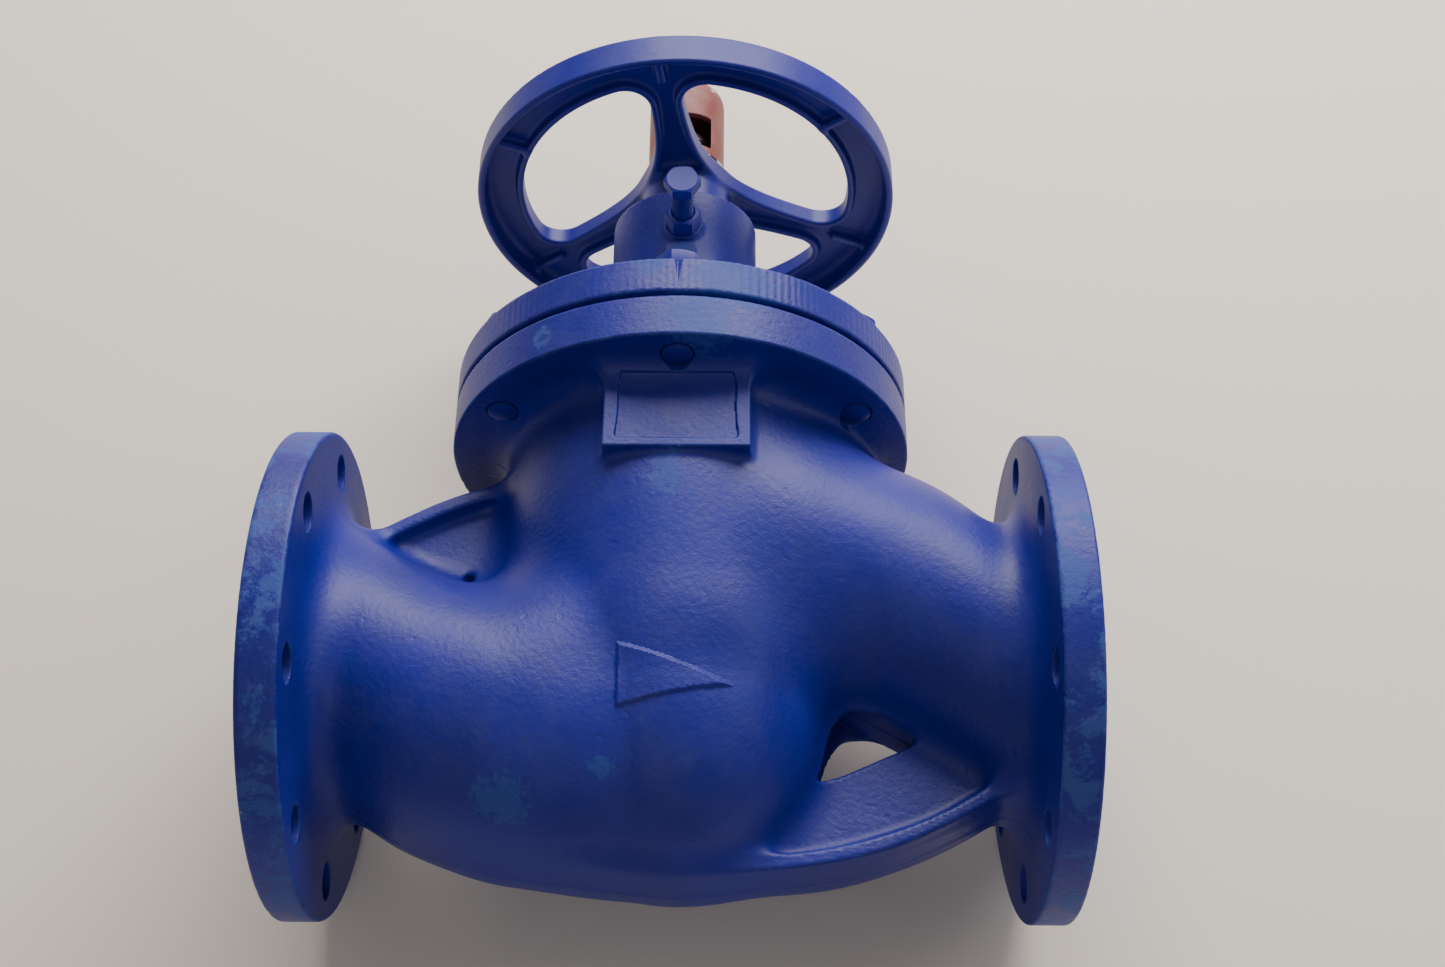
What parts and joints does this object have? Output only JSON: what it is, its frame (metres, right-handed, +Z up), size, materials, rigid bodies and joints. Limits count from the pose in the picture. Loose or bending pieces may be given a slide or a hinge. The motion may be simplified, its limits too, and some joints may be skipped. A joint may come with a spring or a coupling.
{
  "type": "globe valve",
  "caption": "Straight flanged globe valve, bellows sealed, with a non-rising handwheel, a locking screw and a cap that shows the stem's lift.",
  "frame": {"origin": "centre of the inlet flange's raised face", "axes": "+X along the flow from inlet to outlet, +Y along the stem towards the handwheel, +Z up: the valve lies on its side on its flange and handwheel rims"},
  "size_m": [0.4, 0.525, 0.25],
  "materials": {
    "body_enamel": "satin blue enamel over rough cast iron",
    "bonnet_enamel": "satin blue enamel over turned cast iron",
    "wheel_enamel": "satin blue enamel over cast iron",
    "fastener_enamel": "satin blue enamel over steel",
    "stainless_steel": "turned stainless steel",
    "bearing_steel": "ground steel, lightly oiled",
    "zinc_steel": "zinc plated steel",
    "bronze": "machined bronze",
    "graphite": "pressed graphite",
    "red_plastic": "matt red-brown moulded plastic"
  },
  "bodies": {
    "valve": {"body_casting": "body_enamel", "seat_ring": "stainless_steel", "bellows": "stainless_steel", "bellows_ring": "stainless_steel", "body_gasket": "graphite", "bonnet_gasket": "graphite", "bonnet": "bonnet_enamel", "bonnet_bolts": "fastener_enamel", "back_seat_bush": "bronze", "packing_rings": "graphite", "gland_follower": "zinc_steel", "gland_screw": "zinc_steel", "guide_plate_halves": "bearing_steel", "lower_bearing_near_washer": "bearing_steel", "upper_bearing_far_washer": "bearing_steel", "bearing_nut": "bearing_steel"},
    "wheel": {"handwheel": "wheel_enamel", "stem_bush": "bronze", "wheel_key": "zinc_steel", "tab_washer": "zinc_steel", "wheel_nut": "zinc_steel", "indicator_cap": "red_plastic", "lower_bearing_far_washer": "bearing_steel", "upper_bearing_near_washer": "bearing_steel"},
    "stem": {"stem": "stainless_steel", "disc": "stainless_steel", "disc_nut": "stainless_steel", "bellows_carrier": "stainless_steel"},
    "lower_cage": {"lower_bearing_cage": "bearing_steel", "lower_bearing_rollers": "bearing_steel"},
    "upper_cage": {"upper_bearing_cage": "bearing_steel", "upper_bearing_rollers": "bearing_steel"},
    "locking_screw": {"locking_screw": "fastener_enamel"},
    "lock_nut": {"lock_nut": "fastener_enamel"}
  },
  "joints": [
    {"name": "handwheel_turn", "type": "hinge", "parent": "valve", "child": "wheel", "pos_m": [0.2, 0.3, 0], "axis": [0, 1, 0], "range_deg": [0, 2304]},
    {"name": "stem_lift", "type": "slide", "parent": "valve", "child": "stem", "axis": [0, 1, 0], "range_m": [0, 0.032], "deforming": ["bellows"]},
    {"name": "lower_cage_turn", "type": "hinge", "parent": "valve", "child": "lower_cage", "pos_m": [0.2, 0.2545, 0], "axis": [0, 1, 0], "range_deg": [0, 1152]},
    {"name": "upper_cage_turn", "type": "hinge", "parent": "valve", "child": "upper_cage", "pos_m": [0.2, 0.2695, 0], "axis": [0, 1, 0], "range_deg": [0, 1152]},
    {"name": "locking_screw_feed", "type": "slide", "parent": "valve", "child": "locking_screw", "axis": [0, 0, -1], "range_m": [0, 0.004]},
    {"name": "lock_nut_back_off", "type": "slide", "parent": "valve", "child": "lock_nut", "axis": [0, 0, 1], "range_m": [0, 0.016]}
  ],
  "couplings": [
    {"joint": "stem_lift", "follows": "handwheel_turn", "m_per_rad": 0.00079577},
    {"joint": "lower_cage_turn", "follows": "handwheel_turn", "ratio": 0.5},
    {"joint": "upper_cage_turn", "follows": "handwheel_turn", "ratio": 0.5}
  ]
}
